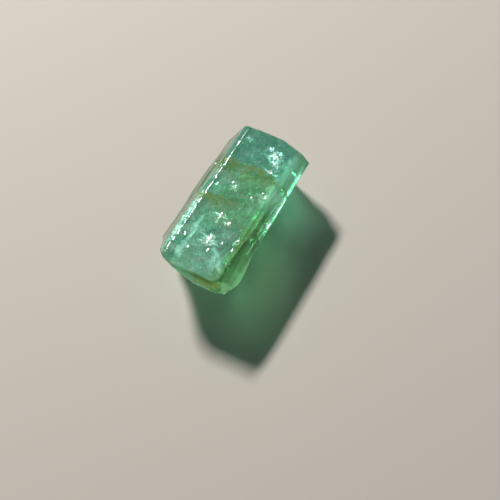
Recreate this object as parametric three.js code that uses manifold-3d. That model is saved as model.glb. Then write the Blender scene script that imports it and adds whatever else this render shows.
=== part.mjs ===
// A rough emerald: one natural beryl crystal, a six-sided prism that lies on one of its prism faces.
// Millimetres, +Z up. The length runs along Y, with the whole end at +Y and the broken end at -Y.
// The origin is the middle of the bounding box's underside.
import * as THREE from "three";
import { ConvexGeometry } from "three/addons/geometries/ConvexGeometry.js";
import { mergeVertices } from "three/addons/utils/BufferGeometryUtils.js";
import Module from "manifold-3d";

const wasm = await Module();
wasm.setup();

// Driving dimensions. Every corner of the prism is 120 degrees, so four face widths settle all six.
const LENGTH = 14.1;
const RESTING_FACE = 4.5;
const LOWER_RIGHT_FACE = 5.2;
const UPPER_RIGHT_FACE = 1.3;
const TOP_FACE = 5.5;
const TAPER = 0.04; // the whole end is this share narrower than the broken end
const EDGE_RADIUS = 0.22; // wear along the prism's long edges
const RIDGE_BEVEL = 0.3; // the narrow flat along the top left edge, measured across each face
const END_WEAR = 0.2; // wear round the prism's ends
const NOSE_HEIGHT = 1.75; // how much of the basal face the break has left, down from the top face
const BREAK_REACH = 3.2; // how far the break cuts in along the resting face
const BREAK_REACH_LEFT = 3.5; // and along the left edge
const PARTING = 3.62; // where the stained parting crosses the crystal, measured along Y from its middle

const SIXTH = Math.PI / 3;
const LOWER_LEFT_FACE = TOP_FACE + UPPER_RIGHT_FACE - RESTING_FACE;
const UPPER_LEFT_FACE = UPPER_RIGHT_FACE + LOWER_RIGHT_FACE - LOWER_LEFT_FACE;
const THICKNESS = (LOWER_RIGHT_FACE + UPPER_RIGHT_FACE) * Math.sin(SIXTH);
const WIDTH = RESTING_FACE + (LOWER_RIGHT_FACE + LOWER_LEFT_FACE) * Math.cos(SIXTH);
const WHOLE_END = LENGTH / 2;
const BROKEN_END = -LENGTH / 2;

// The six prism faces, walked round from the lower left edge as seen from the broken end.
const faceWidths = {
  resting: RESTING_FACE,
  lowerRight: LOWER_RIGHT_FACE,
  upperRight: UPPER_RIGHT_FACE,
  top: TOP_FACE,
  upperLeft: UPPER_LEFT_FACE,
  lowerLeft: LOWER_LEFT_FACE,
};
const faces = {};
const corner = new THREE.Vector2(LOWER_LEFT_FACE * Math.cos(SIXTH) - WIDTH / 2, 0);
Object.entries(faceWidths).forEach(([name, width], turn) => {
  const along = new THREE.Vector2(1, 0).rotateAround(new THREE.Vector2(), turn * SIXTH);
  const outward = new THREE.Vector2(along.y, -along.x);
  faces[name] = { start: corner.clone(), along, outward, width };
  corner.addScaledVector(along, width);
});

// How far the section has narrowed at y along the crystal.
function narrowing(y) {
  return 1 - (TAPER * y) / LENGTH;
}

// The point of a face at a share of its width and at y along the crystal, raised off the face by a height.
function onFace(name, share, y, height = 0) {
  const { start, along, outward, width } = faces[name];
  const place = start.clone().addScaledVector(along, share * width).multiplyScalar(narrowing(y));
  place.addScaledVector(outward, height);
  return new THREE.Vector3(place.x, y, place.y);
}

// The solid that a closed geometry bounds.
function solid(geometry) {
  const bare = geometry.index ? geometry.toNonIndexed() : geometry.clone();
  bare.deleteAttribute("normal");
  bare.deleteAttribute("uv");
  const merged = mergeVertices(bare, 1e-4);
  const mesh = new wasm.Mesh({
    numProp: 3,
    vertProperties: merged.attributes.position.array,
    triVerts: new Uint32Array(merged.index.array),
  });
  return new wasm.Manifold(mesh);
}

function ball(middle, radius, detail) {
  return solid(new THREE.IcosahedronGeometry(radius, detail).translate(middle.x, middle.y, middle.z));
}

// The unbroken prism, with its long edges and both ends worn round.
function prism() {
  const section = new THREE.Shape();
  const tangent = EDGE_RADIUS * Math.tan(SIXTH / 2);
  const round = ({ start, along }) => {
    const end = start.clone().addScaledVector(along, tangent);
    section.quadraticCurveTo(start.x, start.y, end.x, end.y);
  };
  const walk = Object.values(faces);
  walk.forEach((face, i) => {
    const { start, along, width } = face;
    if (i === 0) section.moveTo(start.x + tangent, start.y);
    else round(face);
    const last = start.clone().addScaledVector(along, width - tangent);
    section.lineTo(last.x, last.y);
  });
  round(walk[0]);
  const geometry = new THREE.ExtrudeGeometry(section, {
    depth: LENGTH - 2 * END_WEAR,
    curveSegments: 4,
    bevelThickness: END_WEAR,
    bevelSize: END_WEAR,
    bevelOffset: -END_WEAR,
    bevelSegments: 3,
  });
  geometry.translate(0, 0, END_WEAR - LENGTH / 2);
  geometry.rotateX(Math.PI / 2);
  const position = geometry.attributes.position;
  for (let i = 0; i < position.count; i += 1) {
    const scale = narrowing(position.getY(i));
    position.setX(i, position.getX(i) * scale);
    position.setZ(i, position.getZ(i) * scale);
  }
  return solid(geometry);
}

// The direction out of the crystal that is square to the plane through three points.
function outwardNormal(a, b, c) {
  const plane = new THREE.Plane().setFromCoplanarPoints(a, b, c);
  const middle = new THREE.Vector3(0, 0, THICKNESS / 2);
  return plane.distanceToPoint(middle) > 0 ? plane.normal.negate() : plane.normal;
}

// All that lies outside the plane through three points: what a flat break or a worn edge has taken off.
function beyond(a, b, c) {
  const reach = 2 * LENGTH;
  const block = new THREE.BoxGeometry(reach, reach, reach).translate(0, 0, reach / 2);
  const up = new THREE.Vector3(0, 0, 1);
  block.applyQuaternion(new THREE.Quaternion().setFromUnitVectors(up, outwardNormal(a, b, c)));
  return solid(block.translate(a.x, a.y, a.z));
}

// A ball with its surface through three points: what a shell-shaped hollow has taken off.
function hollow(a, b, c, radius) {
  const [ab, ac] = [b.clone().sub(a), c.clone().sub(a)];
  const square = ab.clone().cross(ac);
  const toCentre = square.clone().cross(ab).multiplyScalar(ac.lengthSq());
  toCentre.add(ac.clone().cross(square).multiplyScalar(ab.lengthSq()));
  toCentre.divideScalar(2 * square.lengthSq());
  const height = Math.sqrt(radius ** 2 - toCentre.lengthSq());
  const middle = a.clone().add(toCentre).addScaledVector(outwardNormal(a, b, c), height);
  return ball(middle, radius, 12);
}

// A growth step: a long shallow slab off a face, between two shares of its width and two places along it.
function growthStep([name, from, to, start, end, depth]) {
  const clear = 0.5;
  const points = [from, to].flatMap((share) =>
    [start, end].flatMap((y) => [-depth, clear].map((height) => onFace(name, share, y, height))),
  );
  return solid(new ConvexGeometry(points));
}

// A terrace on the whole end: a shallow slab off it, between corners given as [x, z].
function terrace([depth, ...corners]) {
  const points = corners.flatMap(([x, z]) =>
    [-depth, END_WEAR].map((y) => new THREE.Vector3(x, WHOLE_END + y, z)),
  );
  return solid(new ConvexGeometry(points));
}

// An etch pit: a small oblong hollow with sloping sides and a flat floor, longest along the crystal.
function etchPit([name, share, y, halfWidth, halfLength, depth]) {
  const [clear, floorSize] = [0.03, 0.5];
  const [rim, floor] = [[1, clear], [floorSize, -depth]];
  const points = [rim, floor].flatMap(([size, height]) =>
    [[-1, -1], [-1, 1], [1, -1], [1, 1]].map(([side, end]) => {
      const away = (side * size * halfWidth) / faces[name].width;
      return onFace(name, share + away, y + end * size * halfLength, height);
    }),
  );
  return solid(new ConvexGeometry(points));
}

// A chip: a small shell-shaped hollow, given by its rim's radius and its depth.
function chip([name, share, y, radius, depth]) {
  const ballRadius = (radius ** 2 + depth ** 2) / (2 * depth);
  return ball(onFace(name, share, y, ballRadius - depth), ballRadius, 9);
}

// The open line of a crack: a V groove along a face through places given as [share, y].
function crack(name, places) {
  const [halfWidth, depth, clear] = [0.05, 0.09, 0.05];
  return places.slice(1).map((place, i) => {
    const points = [places[i], place].flatMap(([share, y]) => [
      onFace(name, share, y - halfWidth, clear),
      onFace(name, share, y + halfWidth, clear),
      onFace(name, share, y, -depth),
    ]);
    return solid(new ConvexGeometry(points));
  });
}

// Parallel growth that stands a little proud of the left edge and thins out to both ends.
function leftPlate() {
  const [sunk, proud] = [-0.06, 0.1];
  const rib = (y, rise) => [
    onFace("upperLeft", 0.35, y, -0.3),
    onFace("upperLeft", 0.45, y, rise),
    onFace("upperLeft", 0.96, y, rise),
    onFace("lowerLeft", 0.08, y, rise),
    onFace("lowerLeft", 0.5, y, rise),
    onFace("lowerLeft", 0.6, y, -0.3),
  ];
  const ribs = [rib(-1.4, sunk), rib(1.2, proud), rib(3.8, proud), rib(6.4, sunk)];
  return solid(new ConvexGeometry(ribs.flat()));
}

// The lobe: a rounded stub of parallel growth at the right of the broken end.
// It thins out along the lower right face.
function lobe() {
  const knob = (middle, reach, detail) => {
    const round = new THREE.IcosahedronGeometry(1, detail).scale(...reach);
    const { array } = round.translate(middle.x, middle.y, middle.z).attributes.position;
    return Array.from({ length: array.length / 3 }, (_, i) => new THREE.Vector3().fromArray(array, 3 * i));
  };
  const stub = knob(onFace("upperRight", 0.1, BROKEN_END + 2.1, -1.25), [1.15, 1.6, 1.2], 7);
  const root = knob(onFace("lowerRight", 0.86, -1, -0.62), [0.6, 0.6, 0.6], 3);
  return solid(new ConvexGeometry([...stub, ...root]));
}

// The break leaves a nose of the basal face under the top face, and cuts in below it in shell-shaped hollows.
const nose = (share, depth) => onFace("top", share, BROKEN_END, -depth);
const foot = (share, past = 0) => onFace("resting", share, BROKEN_END + BREAK_REACH + past);
const breaks = [
  hollow(nose(0.96, 0), nose(0.4, NOSE_HEIGHT), onFace("upperLeft", 1, BROKEN_END + BREAK_REACH_LEFT), 9),
  hollow(nose(0.6, NOSE_HEIGHT), nose(0, NOSE_HEIGHT), foot(0.7), 8),
  hollow(nose(0.55, 2.4), foot(0.1, 0.35), foot(0.6, 0.2), 4.5),
];

// Worn corners and edges, each a flat through three places given as [face, share, y].
const wornFlats = [
  [["top", 0.4, WHOLE_END], ["top", 0, WHOLE_END - 0.57], ["upperRight", 0, WHOLE_END - 0.53]],
  [["top", 0.74, BROKEN_END], ["top", 1, BROKEN_END + 0.5], ["upperLeft", 0.3, BROKEN_END + 0.7]],
  [["top", 0.9, BROKEN_END + 0.25], ["top", 1, BROKEN_END + 1], ["upperLeft", 0.35, BROKEN_END + 1.3]],
  [["top", 0.07, BROKEN_END], ["upperRight", 0.3, BROKEN_END], ["top", 0, -1.5]],
  [["top", 0.13, BROKEN_END], ["top", 0, BROKEN_END + 0.6], ["upperRight", 0.3, BROKEN_END + 0.3]],
  [
    ["top", 0.1, BROKEN_END, -0.5],
    ["upperRight", 0, BROKEN_END + 0.9],
    ["top", 0.1, BROKEN_END, -NOSE_HEIGHT],
  ],
  [["upperLeft", 1, -0.3], ["upperLeft", 0.75, -6], ["lowerLeft", 0.46, -6]],
  [
    ["top", 1 - RIDGE_BEVEL / TOP_FACE, BROKEN_END],
    ["upperLeft", RIDGE_BEVEL / UPPER_LEFT_FACE, BROKEN_END],
    ["top", 1 - RIDGE_BEVEL / TOP_FACE, WHOLE_END],
  ],
];

// Growth steps as [face, from share, to share, from y, to y, depth].
// With a share past 0 or 1 a step runs out over the edge.
const growthSteps = [
  ["top", 0.915, 1.05, BROKEN_END - 1, PARTING, 0.06],
  ["top", -0.05, 0.06, -2.6, 5.1, 0.05],
  ["top", -0.05, 1.05, PARTING, WHOLE_END + 1, 0.035],
  ["upperRight", -0.05, 0.42, -3.4, 5.6, 0.05],
  ["lowerRight", 0.14, 0.38, -2.4, 5.9, 0.07],
  ["lowerRight", 0.56, 0.63, -4.2, WHOLE_END + 1, 0.05],
  ["lowerRight", 0.8, 1.05, 1.1, WHOLE_END + 1, 0.05],
  ["upperLeft", 0.2, 0.27, -4.8, WHOLE_END + 1, 0.05],
  ["upperLeft", 0.62, 0.68, -3, 5.2, 0.05],
  ["lowerLeft", 0.7, 1.05, -1.8, 4.7, 0.06],
  ["resting", -0.05, 0.16, -1.5, WHOLE_END + 1, 0.06],
  ["resting", 0.72, 0.86, 0.3, WHOLE_END + 1, 0.07],
];

// Terraces on the whole end as [depth, ...corners].
const terraces = [
  [0.09, [-5, 1.2], [-1.2, 2], [-0.4, 4.1], [-1.3, 6], [-5, 6]],
  [0.06, [0.9, -1], [5, -1], [5, 3.7], [2.3, 3], [1.2, 1.4]],
];

// Etch pits as [face, share, y, half width, half length, depth].
const etchPits = [
  ["top", 0.884, 0.95, 0.17, 0.24, 0.07],
  ["top", 0.62, 1.35, 0.12, 0.3, 0.05],
  ["top", 0.67, 1.6, 0.09, 0.14, 0.05],
  ["top", 0.31, 1.0, 0.11, 0.2, 0.05],
  ["top", 0.142, 1.48, 0.16, 0.26, 0.06],
  ["top", 0.19, 1.75, 0.1, 0.16, 0.05],
  ["top", 0.56, -1.41, 0.13, 0.34, 0.05],
  ["top", 0.389, -1.81, 0.2, 0.2, 0.07],
  ["top", 0.529, -3.7, 0.24, 0.42, 0.07],
  ["top", 0.31, -3.62, 0.12, 0.18, 0.06],
  ["top", 0.126, -2.9, 0.12, 0.2, 0.05],
  ["top", 0.126, -3.86, 0.1, 0.26, 0.05],
  ["top", 0.86, -4.17, 0.12, 0.2, 0.05],
  ["top", 0.714, -5.12, 0.14, 0.22, 0.05],
  ["top", 0.435, -4.65, 0.13, 0.3, 0.05],
  ["top", 0.85, 5.7, 0.12, 0.22, 0.06],
  ["upperRight", 0.62, -2.2, 0.13, 0.3, 0.05],
  ["upperRight", 0.55, 1.9, 0.12, 0.36, 0.05],
  ["lowerRight", 0.3, 2.5, 0.2, 0.5, 0.07],
  ["lowerRight", 0.47, -0.2, 0.14, 0.3, 0.05],
  ["lowerRight", 0.7, -1.4, 0.2, 0.36, 0.06],
  ["lowerRight", 0.22, 4.9, 0.13, 0.28, 0.05],
  ["lowerRight", 0.74, 4.1, 0.16, 0.42, 0.06],
  ["upperLeft", 0.5, -1.4, 0.17, 0.4, 0.06],
  ["upperLeft", 0.42, 3.4, 0.13, 0.26, 0.05],
  ["upperLeft", 0.36, 0.6, 0.1, 0.34, 0.05],
  ["upperLeft", 0.8, 5.2, 0.18, 0.36, 0.06],
  ["lowerLeft", 0.3, -0.7, 0.16, 0.34, 0.06],
  ["lowerLeft", 0.62, 5.9, 0.13, 0.26, 0.05],
  ["resting", 0.42, -0.8, 0.2, 0.44, 0.06],
  ["resting", 0.56, 4.2, 0.15, 0.32, 0.05],
  ["resting", 0.28, 2.1, 0.12, 0.24, 0.05],
];

// Chips, most of them out of an edge, as [face, share, y, radius, depth].
const chips = [
  ["top", 0.327, 5.2, 0.5, 0.07],
  ["top", 0.29, 3.76, 0.4, 0.09],
  ["upperRight", 0.05, 0.6, 0.5, 0.1],
  ["lowerRight", 0.02, 4.6, 0.45, 0.12],
  ["lowerRight", 0.5, 6.9, 0.6, 0.12],
  ["upperLeft", 0.97, -1.9, 0.5, 0.12],
  ["resting", 0, 2.9, 0.5, 0.14],
  ["resting", 1, -1.1, 0.55, 0.15],
  ["resting", 1.02, 5.3, 0.35, 0.12],
];

// The open cracks: the stained parting across the top and upper right faces, and a short one near the middle.
// The partings' places are [share, y from the parting's own place].
const topParting = [
  [0.96, 0.1],
  [0.84, -0.08],
  [0.64, 0.01],
  [0.4, 0.16],
  [0.28, 0.11],
  [0.156, -0.28],
  [-0.01, -0.42],
];
const rightParting = [[1.02, -0.42], [0.6, -0.37], [-0.03, -0.18]];
const middleCrack = [[0.915, 0.1], [0.745, 0.24], [0.56, 0.22], [0.466, 0.3]];
const atParting = ([share, y]) => [share, PARTING + y];
const cracks = [
  ...crack("top", topParting.map(atParting)),
  ...crack("upperRight", rightParting.map(atParting)),
  ...crack("top", middleCrack),
];

// The crystal, cut and joined from the forms above and set with its origin under its middle.
function emerald() {
  let crystal = prism().add(leftPlate());
  const flats = wornFlats.map((places) => beyond(...places.map((place) => onFace(...place))));
  for (const cut of [...breaks, ...flats]) crystal = crystal.subtract(cut);
  crystal = crystal.add(lobe());
  const relief = [
    ...growthSteps.map(growthStep),
    ...terraces.map(terrace),
    ...etchPits.map(etchPit),
    ...chips.map(chip),
    ...cracks,
  ];
  for (const cut of relief) crystal = crystal.subtract(cut);
  const { vertProperties, triVerts } = crystal.getMesh();
  const geometry = new THREE.BufferGeometry();
  geometry.setAttribute("position", new THREE.BufferAttribute(new Float32Array(vertProperties), 3));
  geometry.setIndex(new THREE.BufferAttribute(new Uint32Array(triVerts), 1));
  geometry.computeBoundingBox();
  const middle = geometry.boundingBox.getCenter(new THREE.Vector3());
  return geometry.translate(-middle.x, -middle.y, -geometry.boundingBox.min.z);
}

const beryl = new THREE.MeshStandardMaterial({ color: 0x63a682, roughness: 0.3, metalness: 0 });
const crystal = new THREE.Mesh(emerald(), beryl);
crystal.name = "emerald_crystal";

const group = new THREE.Group();
group.add(crystal);
export default group;
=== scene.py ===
"""A rough emerald: one natural beryl crystal, lying on a prism face, with the flaws that show inside it."""

import math
from types import SimpleNamespace

import bpy
import numpy as np
from mathutils import Matrix, Vector
from mathutils.bvhtree import BVHTree


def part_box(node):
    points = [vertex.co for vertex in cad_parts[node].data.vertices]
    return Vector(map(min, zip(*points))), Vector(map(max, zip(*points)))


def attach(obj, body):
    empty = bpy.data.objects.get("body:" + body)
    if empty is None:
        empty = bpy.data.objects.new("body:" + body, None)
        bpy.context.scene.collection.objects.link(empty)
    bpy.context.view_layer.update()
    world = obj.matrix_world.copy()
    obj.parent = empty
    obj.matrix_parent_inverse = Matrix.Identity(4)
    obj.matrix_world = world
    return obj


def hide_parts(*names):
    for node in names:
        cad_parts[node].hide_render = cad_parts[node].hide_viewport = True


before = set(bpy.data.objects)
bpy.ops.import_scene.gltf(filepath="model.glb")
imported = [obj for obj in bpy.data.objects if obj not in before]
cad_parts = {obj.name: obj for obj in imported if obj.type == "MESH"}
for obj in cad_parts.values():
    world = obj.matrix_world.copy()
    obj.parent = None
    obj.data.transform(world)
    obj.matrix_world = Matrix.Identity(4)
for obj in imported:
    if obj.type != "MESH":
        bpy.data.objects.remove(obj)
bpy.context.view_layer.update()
scene = bpy.context.scene
MM = 0.001

# The viewpoint: a close-up lens that looks down at the crystal from beside its broken end, a little
# rolled, and that aims below and to the right of the crystal's middle.
CAMERA_AZIMUTH = math.radians(38.1)
CAMERA_ELEVATION = math.radians(59.5)
CAMERA_ROLL = math.radians(9.8)
CAMERA_DISTANCE = 120 * MM
AIM_RIGHT, AIM_DOWN = 1.76 * MM, 2.64 * MM
FOCAL_LENGTH, SENSOR_WIDTH = 108, 36
NEAREST_SEEN = 5 * MM

low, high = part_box("emerald_crystal")
level = Vector((math.sin(CAMERA_AZIMUTH), -math.cos(CAMERA_AZIMUTH), 0))
to_camera = level * math.cos(CAMERA_ELEVATION) + Vector((0, 0, math.sin(CAMERA_ELEVATION)))
turn = to_camera.to_track_quat("Z", "Y").to_matrix() @ Matrix.Rotation(-CAMERA_ROLL, 3, "Z")
aim = (low + high) / 2 + turn @ Vector((AIM_RIGHT, -AIM_DOWN, 0))
lens = bpy.data.cameras.new("close_up_lens")
lens.lens = FOCAL_LENGTH
lens.sensor_width = SENSOR_WIDTH
lens.clip_start = NEAREST_SEEN
camera = bpy.data.objects.new("camera", lens)
camera.matrix_world = Matrix.Translation(aim + to_camera * CAMERA_DISTANCE) @ turn.to_4x4()
scene.collection.objects.link(camera)
scene.camera = camera


# The setting: a plain pale floor under one soft light from the upper left, a weak fill from the
# other side, and an even pale sky.
FLOOR_RADIUS = 0.8
FLOOR_CORNERS = 96
FLOOR_COLOUR = (0.53, 0.50, 0.46, 1)
FLOOR_ROUGHNESS = 0.9
SKY_COLOUR = (0.80, 0.86, 0.92, 1)
SKY_STRENGTH = 0.045


def softbox(name, towards, distance, length, width, watts, colour):
    """A lamp that stands in a direction from the crystal and faces it, with its length along the prism."""
    lamp = bpy.data.lights.new(name, "AREA")
    lamp.shape = "RECTANGLE"
    lamp.size = length
    lamp.size_y = width
    lamp.energy = watts
    lamp.color = colour
    holder = bpy.data.objects.new(name, lamp)
    way = Vector(towards).normalized()
    along = (Vector((0, 1, 0)) - way * way.y).normalized()
    facing = Matrix((along, way.cross(along), way)).transposed().to_4x4()
    holder.matrix_world = Matrix.Translation(way * distance) @ facing
    scene.collection.objects.link(holder)


softbox(
    "key", towards=(-0.585, 0.37, 0.72), distance=0.30, length=0.06, width=0.026,
    watts=1.25, colour=(1, 0.97, 0.92),
)
softbox(
    "fill", towards=(0.8, -0.5, 0.45), distance=0.40, length=0.30, width=0.30,
    watts=0.04, colour=(0.9, 0.95, 1),
)

world = bpy.data.worlds.new("studio")
world.use_nodes = True
sky = world.node_tree.nodes["Background"]
sky.inputs["Color"].default_value = SKY_COLOUR
sky.inputs["Strength"].default_value = SKY_STRENGTH
scene.world = world
scene.view_settings.view_transform = "Standard"

bpy.ops.mesh.primitive_circle_add(vertices=FLOOR_CORNERS, radius=FLOOR_RADIUS, fill_type="NGON")
floor = bpy.context.object
floor.name = "floor"
matt = bpy.data.materials.new("pale_floor")
matt.use_nodes = True
paint = matt.node_tree.nodes["Principled BSDF"]
paint.inputs["Base Color"].default_value = FLOOR_COLOUR
paint.inputs["Roughness"].default_value = FLOOR_ROUGHNESS
floor.data.materials.append(matt)


# The crystal: a single prism of green beryl, broken at its near end, see-through but cloudy.
# Its faces carry fine growth lines along the prism, its top left edge is worn to small breaks that
# glint, and the broken end is smoothed by wear, with faint shell-shaped ribs.
LENGTH = 14.1
NARROWING = 0.04
NET = 0.068

SOFTEN_STEP = 0.5
SOFTEN_ROUNDS, SOFTEN_BACK = 6, 0.52
WORN_ROUNDS, WORN_BACK = 40, 0.504
ROLLED_ROUNDS = 30
NEAR_CORNER = (3.3, -7.0, 5.5)
CORNER_LIFT = 0.2

RIDGE = (-2.025, 5.629)
RIDGE_BEVEL = 0.15
RIDGE_MIDDLE = (0.075, -0.13)
RIDGE_ROUNDING = 0.015
RIDGE_FACINGS = np.array([(0, 1), (-0.5, 0.866), (-0.866, 0.5)])

SWELL_HEIGHT, GRAIN_HEIGHT = 0.015, 0.0012
TERRACE_HEIGHT, LINE_HEIGHT = 0.0022, 0.0010
RIB_HEIGHT, RIB_SPACING, BREAK_HEIGHT = 0.008, 0.30, 0.012
STRUCK_AT = (2.4, -7.4, 5.2)
CHIP_HEIGHT, CHIP_SIZE = 0.014, 0.26
LEAST_WEAR = 0.03
WEAR_SPREAD = 5
FLAKE_HEIGHT, FLAKE_SIZE = 0.007, 0.26
FLAKES = [
    (1.45, 5.40, 0.50),
    (1.00, 5.80, 0.35),
    (1.90, 4.60, 0.45),
    (1.90, 3.80, 0.40),
    (2.60, 1.60, 0.40),
    (0.90, -3.80, 0.70),
    (1.36, -1.80, 0.40),
]

FULL_TURN = 2 * math.pi
RIPPLE_WAVES = 28


def remeshed(source, size):
    """The vertices (in mm) and faces of a node's mesh, rebuilt as an even net of small squares."""
    mesh = source.data.copy()
    mesh.transform(Matrix.Scale(1 / MM, 4))
    holder = bpy.data.objects.new("rough_net", mesh)
    scene.collection.objects.link(holder)
    weld = holder.modifiers.new("weld", "WELD")
    weld.merge_threshold = 1e-4
    net = holder.modifiers.new("net", "REMESH")
    net.mode = "VOXEL"
    net.voxel_size = size
    made = bpy.data.meshes.new_from_object(
        holder.evaluated_get(bpy.context.evaluated_depsgraph_get())
    )
    places = places_of(made)
    faces = [tuple(face.vertices) for face in made.polygons]
    bpy.data.objects.remove(holder)
    bpy.data.meshes.remove(mesh)
    bpy.data.meshes.remove(made)
    return places, faces


def places_of(mesh):
    places = np.empty(len(mesh.vertices) * 3)
    mesh.vertices.foreach_get("co", places)
    return places.reshape(-1, 3)


def normals_of(thing):
    normals = np.empty(len(thing.data.vertices) * 3)
    thing.data.vertices.foreach_get("normal", normals)
    return normals.reshape(-1, 3)


def object_from(name, places, faces):
    """A smooth-shaded object from vertices in mm."""
    mesh = bpy.data.meshes.new(name)
    mesh.from_pydata(np.asarray(places) * MM, [], faces)
    mesh.shade_smooth()
    made = bpy.data.objects.new(name, mesh)
    scene.collection.objects.link(made)
    return made


def move_to(thing, places):
    thing.data.vertices.foreach_set("co", (places * MM).ravel())
    thing.data.update()


def smoothstep(start, end, value):
    """0 before start and 1 past end, with a smooth rise between them. A start above end falls instead."""
    share = np.clip((value - start) / (end - start), 0, 1)
    return share * share * (3 - 2 * share)


def ripple(places, size, seed, stretch=(1, 1, 1)):
    """Smooth noise, mostly from -1 to 1, whose lumps are about size mm across, or longer where stretched."""
    source = np.random.default_rng(seed)
    waves = source.normal(size=(RIPPLE_WAVES, 3))
    waves /= np.linalg.norm(waves, axis=1, keepdims=True)
    waves *= FULL_TURN / size * source.uniform(0.5, 1.3, (RIPPLE_WAVES, 1)) / np.array(stretch)
    return np.sin(places @ waves.T + source.uniform(0, FULL_TURN, RIPPLE_WAVES)).sum(1) / 4


def softened(places, edges, rounds, back, share=1):
    """Moves each vertex halfway to its neighbours' mean and then away again by the share back.

    That takes facets off and keeps the size, unless back is 0."""
    ends, others = np.vstack([edges, edges[:, ::-1]]).T
    count = np.bincount(ends, minlength=len(places))[:, None]
    for step in (SOFTEN_STEP, -back) * rounds:
        total = [np.bincount(ends, column[others], len(places)) for column in places.T]
        places = places + step * share * (np.stack(total, 1) / count - places)
    return places


def narrowed(along):
    """How wide the prism is at a place along it, as a share of its width in the middle."""
    return 1 - NARROWING * along / LENGTH


def worn_down(places, edges, normals):
    """Softens the net's steps everywhere, the broken end more, and rolls the near top edge over."""
    broken = smoothstep(0.15, 0.5, -normals[:, 1])[:, None]
    near_end = smoothstep(-5.4, -6.2, places[:, 1])[:, None]
    off_corner = np.linalg.norm(places - NEAR_CORNER, axis=1)
    off_edge = np.hypot(places[:, 1] - NEAR_CORNER[1], places[:, 2] - NEAR_CORNER[2] - CORNER_LIFT)
    rolled = np.maximum(smoothstep(1.5, 0.7, off_corner), smoothstep(0.8, 0.3, off_edge))[:, None]
    places = softened(places, edges, SOFTEN_ROUNDS, SOFTEN_BACK)
    places = softened(places, edges, WORN_ROUNDS, WORN_BACK, np.maximum(broken, near_end))
    return softened(places, edges, ROLLED_ROUNDS, 0, rolled)


def bevelled(places, widths):
    """Cuts the top left edge to a narrow flat with crisp edges, which the net alone is too coarse for.

    Gives the places, and how far each is from the flat's middle."""
    across, up = places[:, 0] / widths - RIDGE[0], places[:, 2] / widths - RIDGE[1]
    outside = np.outer(across, RIDGE_FACINGS[:, 0]) + np.outer(up, RIDGE_FACINGS[:, 1])
    weights = np.exp(np.clip((outside + (0, RIDGE_BEVEL, 0)) / RIDGE_ROUNDING, -60, 60))
    proud = RIDGE_ROUNDING * np.log(weights.sum(1))
    facing = (weights / weights.sum(1)[:, None]) @ RIDGE_FACINGS
    off_ridge = np.hypot(across - RIDGE_MIDDLE[0], up - RIDGE_MIDDLE[1])
    proud *= smoothstep(0.50, 0.34, off_ridge) * smoothstep(0.12, 0.06, abs(proud))
    proud *= smoothstep(-6.8, -6.2, places[:, 1]) * smoothstep(6.95, 6.75, places[:, 1])
    places[:, 0] -= proud * facing[:, 0]
    places[:, 2] -= proud * facing[:, 1]
    return places, off_ridge


def grown_relief(places, normals, off_ridge):
    """How far growth steps, shell-shaped ribs and chips on the ridge raise the skin, in mm."""
    sides = 1 - smoothstep(0.25, 0.6, abs(normals[:, 1]))
    broken = smoothstep(0.2, 0.5, -normals[:, 1])
    terraces = np.tanh(5 * ripple(places, 1.1, 3, (1, 9, 1)))
    lines = ripple(places, 0.32, 4, (1, 14, 1))
    struck = np.linalg.norm(places - STRUCK_AT, axis=1)
    ribs = np.sin(struck / RIB_SPACING + 1.2 * ripple(places, 3, 5))
    ridge = 1 - smoothstep(0.25, 0.40, off_ridge)
    wear = LEAST_WEAR + (1 - LEAST_WEAR) * smoothstep(3.0, -1.0, places[:, 1])
    relief = SWELL_HEIGHT * ripple(places, 4.0, 1) + GRAIN_HEIGHT * ripple(places, 0.6, 2)
    relief += sides * (TERRACE_HEIGHT * terraces + LINE_HEIGHT * lines)
    relief += broken * (RIB_HEIGHT * ribs + BREAK_HEIGHT * ripple(places, 0.9, 6))
    relief += ridge * wear * CHIP_HEIGHT * ripple(places, CHIP_SIZE, 7, (1, 1.4, 1))
    return relief


def flaking(places, normals):
    """Where the top face is pitted over the bright cracks, which the crystal's colour also whitens partly as
    a painted glint: 0 for sound skin, up to 1.
    """
    most = np.zeros(len(places))
    for x, y, reach in FLAKES:
        off = np.hypot(places[:, 0] - x, places[:, 1] - y)
        most = np.maximum(most, smoothstep(reach, reach * 0.3, off))
    return smoothstep(0.9, 0.97, normals[:, 2]) * most


places, faces = remeshed(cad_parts["emerald_crystal"], NET)
crystal = object_from("crystal", places, faces)
edges = np.array([edge.vertices[:] for edge in crystal.data.edges])
widths = narrowed(places[:, 1])
places, off_ridge = bevelled(worn_down(places, edges, normals_of(crystal)), widths)
move_to(crystal, places)
normals = normals_of(crystal)
flaked = flaking(places, normals)
relief = grown_relief(places, normals, off_ridge)
relief += flaked * FLAKE_HEIGHT * ripple(places, FLAKE_SIZE, 8)
off_floor = smoothstep(0.05, 0.3, places[:, 2])
places += normals * (off_floor * relief)[:, None]
move_to(crystal, places)
skin = BVHTree.FromPolygons(places.tolist(), faces)
normals = normals_of(crystal)
spread = softened(normals, edges, WEAR_SPREAD, 0)


def told(thing, name, values):
    """Gives a piece's points a number each, which its material can read by that name."""
    made = thing.data.attributes.new(name, "FLOAT", "POINT")
    made.data.foreach_set("value", np.asarray(values, dtype=np.float32))


# The worn edges are later whitened in the crystal's colour, partly as frosted wear and partly as a painted
# highlight.
told(crystal, "worn", smoothstep(0.012, 0.06, 1 - np.linalg.norm(spread, axis=1)))
told(crystal, "broken", smoothstep(0.25, 0.6, -normals[:, 1]))
told(crystal, "flaked", flaked)


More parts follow.
